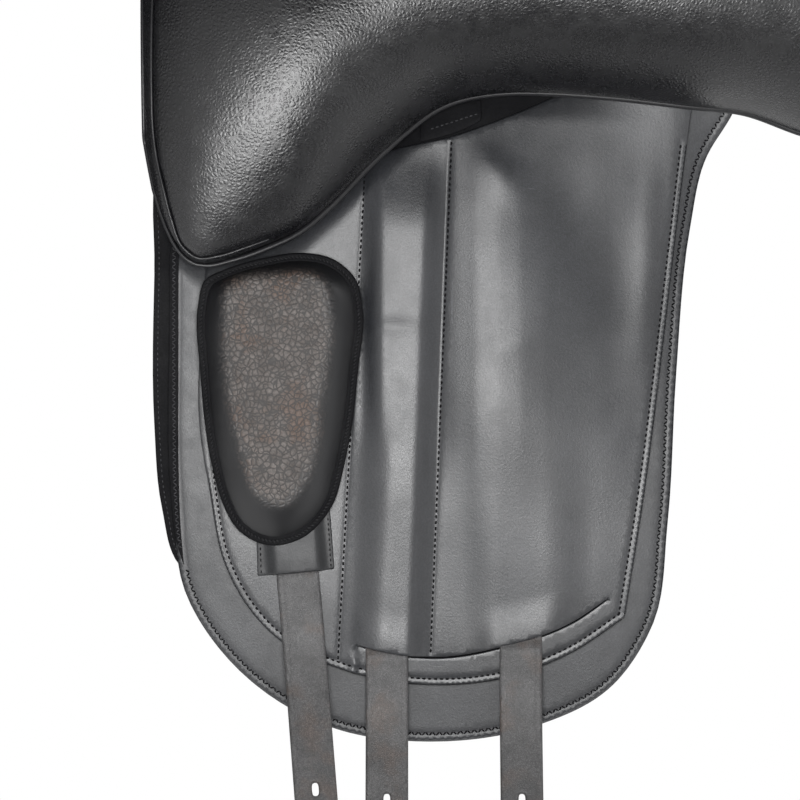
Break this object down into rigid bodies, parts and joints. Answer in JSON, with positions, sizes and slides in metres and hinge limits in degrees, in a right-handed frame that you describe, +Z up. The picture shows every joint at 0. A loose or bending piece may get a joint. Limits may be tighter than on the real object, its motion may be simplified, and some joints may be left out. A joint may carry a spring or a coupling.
{
  "type": "english dressage saddle",
  "caption": "Monoflap English dressage saddle: sprung seat on a tree, two flocked panels, lifting flaps and skirts, thigh blocks and hanging girth straps.",
  "frame": {"origin": "on the centre plane, at the level of the lowest stretch of the panels' gullet edges, 0.235 m behind the panels' front end", "axes": "+X towards the horse's head, +Y to the horse's left, +Z up"},
  "size_m": [0.488, 0.6126, 0.8684],
  "materials": {
    "black_grain_leather": "black, pebble grain",
    "smooth_flap_leather": "dark grey, smooth, satin",
    "strap_leather": "dark grey, pebbled, dyed edges",
    "pad_leather": "brown-grey, pebbled",
    "wool_flock": "loose wool",
    "seat_foam": "open-cell foam",
    "beech_tree": "laminated beech",
    "steel": "polished steel",
    "webbing": "woven web"
  },
  "bodies": {
    "saddle": {"tree": "beech_tree", "gullet_plate": "steel", "cantle_plate": "steel", "seat_web": "webbing", "seat_foam": "seat_foam", "seat_cover": "black_grain_leather", "seat_welt": "black_grain_leather", "gullet_lining": "black_grain_leather", "panel_cover_left": "black_grain_leather", "panel_flock_left": "wool_flock", "flap_head_left": "smooth_flap_leather", "skirt_head_left": "black_grain_leather", "tree_point_left": "beech_tree", "stirrup_bar_left": "steel", "dee_staple_left": "steel", "front_nail_left": "steel", "panel_cover_right": "black_grain_leather", "panel_flock_right": "wool_flock", "flap_head_right": "smooth_flap_leather", "skirt_head_right": "black_grain_leather", "tree_point_right": "beech_tree", "stirrup_bar_right": "steel", "dee_staple_right": "steel", "front_nail_right": "steel"},
    "flap_group_left": {"flap_left": "smooth_flap_leather", "flap_lining_left": "smooth_flap_leather", "point_pad_left": "pad_leather", "strap_keeper_left": "smooth_flap_leather", "thigh_block_left": "black_grain_leather", "leather_loop_left": "smooth_flap_leather", "front_web_left": "webbing", "middle_web_left": "webbing", "rear_web_left": "webbing"},
    "skirt_body_left": {"skirt_left": "black_grain_leather"},
    "front_strap_body_left": {"front_strap_left": "strap_leather"},
    "middle_strap_body_left": {"middle_strap_left": "strap_leather"},
    "rear_strap_body_left": {"rear_strap_left": "strap_leather"},
    "bar_catch_body_left": {"bar_catch_left": "steel"},
    "dee_ring_body_left": {"dee_ring_left": "steel"},
    "flap_group_right": {"flap_right": "smooth_flap_leather", "flap_lining_right": "smooth_flap_leather", "point_pad_right": "pad_leather", "strap_keeper_right": "smooth_flap_leather", "thigh_block_right": "black_grain_leather", "leather_loop_right": "smooth_flap_leather", "front_web_right": "webbing", "middle_web_right": "webbing", "rear_web_right": "webbing"},
    "skirt_body_right": {"skirt_right": "black_grain_leather"},
    "front_strap_body_right": {"front_strap_right": "strap_leather"},
    "middle_strap_body_right": {"middle_strap_right": "strap_leather"},
    "rear_strap_body_right": {"rear_strap_right": "strap_leather"},
    "bar_catch_body_right": {"bar_catch_right": "steel"},
    "dee_ring_body_right": {"dee_ring_right": "steel"}
  },
  "joints": [
    {"name": "flap_left_lift", "type": "hinge", "parent": "saddle", "child": "flap_group_left", "pos_m": [0.04, 0.10743, 0.06693], "axis": [1, 0, 0], "range_deg": [0, 60]},
    {"name": "skirt_left_lift", "type": "hinge", "parent": "flap_group_left", "child": "skirt_body_left", "pos_m": [0.04, 0.10743, 0.06693], "axis": [1, 0, 0], "range_deg": [0, 35]},
    {"name": "front_strap_left_swing", "type": "hinge", "parent": "flap_group_left", "child": "front_strap_body_left", "pos_m": [0.143, 0.257, -0.3005], "axis": [-0.9959, -0.0366, 0.0822], "range_deg": [0, 75]},
    {"name": "middle_strap_left_swing", "type": "hinge", "parent": "flap_group_left", "child": "middle_strap_body_left", "pos_m": [0.0898, 0.27673, -0.3448], "axis": [-1, 0, 0], "range_deg": [0, 75]},
    {"name": "rear_strap_left_swing", "type": "hinge", "parent": "flap_group_left", "child": "rear_strap_body_left", "pos_m": [0.0097, 0.27502, -0.34097], "axis": [-1, 0, 0], "range_deg": [0, 75]},
    {"name": "bar_catch_left_turn", "type": "hinge", "parent": "saddle", "child": "bar_catch_body_left", "pos_m": [0.085, 0.10754, 0.04947], "axis": [0, 0.9135, 0.4067], "range_deg": [0, 75]},
    {"name": "dee_ring_left_swing", "type": "hinge", "parent": "saddle", "child": "dee_ring_body_left", "pos_m": [0.17, 0.08945, 0.11517], "axis": [1, 0, 0], "range_deg": [0, 130]},
    {"name": "flap_right_lift", "type": "hinge", "parent": "saddle", "child": "flap_group_right", "pos_m": [0.04, -0.10743, 0.06693], "axis": [-1, 0, 0], "range_deg": [0, 60]},
    {"name": "skirt_right_lift", "type": "hinge", "parent": "flap_group_right", "child": "skirt_body_right", "pos_m": [0.04, -0.10743, 0.06693], "axis": [-1, 0, 0], "range_deg": [0, 35]},
    {"name": "front_strap_right_swing", "type": "hinge", "parent": "flap_group_right", "child": "front_strap_body_right", "pos_m": [0.143, -0.257, -0.3005], "axis": [0.9959, -0.0366, -0.0822], "range_deg": [0, 75]},
    {"name": "middle_strap_right_swing", "type": "hinge", "parent": "flap_group_right", "child": "middle_strap_body_right", "pos_m": [0.0898, -0.27673, -0.3448], "axis": [1, 0, 0], "range_deg": [0, 75]},
    {"name": "rear_strap_right_swing", "type": "hinge", "parent": "flap_group_right", "child": "rear_strap_body_right", "pos_m": [0.0097, -0.27502, -0.34097], "axis": [1, 0, 0], "range_deg": [0, 75]},
    {"name": "bar_catch_right_turn", "type": "hinge", "parent": "saddle", "child": "bar_catch_body_right", "pos_m": [0.085, -0.10754, 0.04947], "axis": [0, 0.9135, -0.4067], "range_deg": [0, 75]},
    {"name": "dee_ring_right_swing", "type": "hinge", "parent": "saddle", "child": "dee_ring_body_right", "pos_m": [0.17, -0.08945, 0.11517], "axis": [-1, 0, 0], "range_deg": [0, 130]}
  ]
}
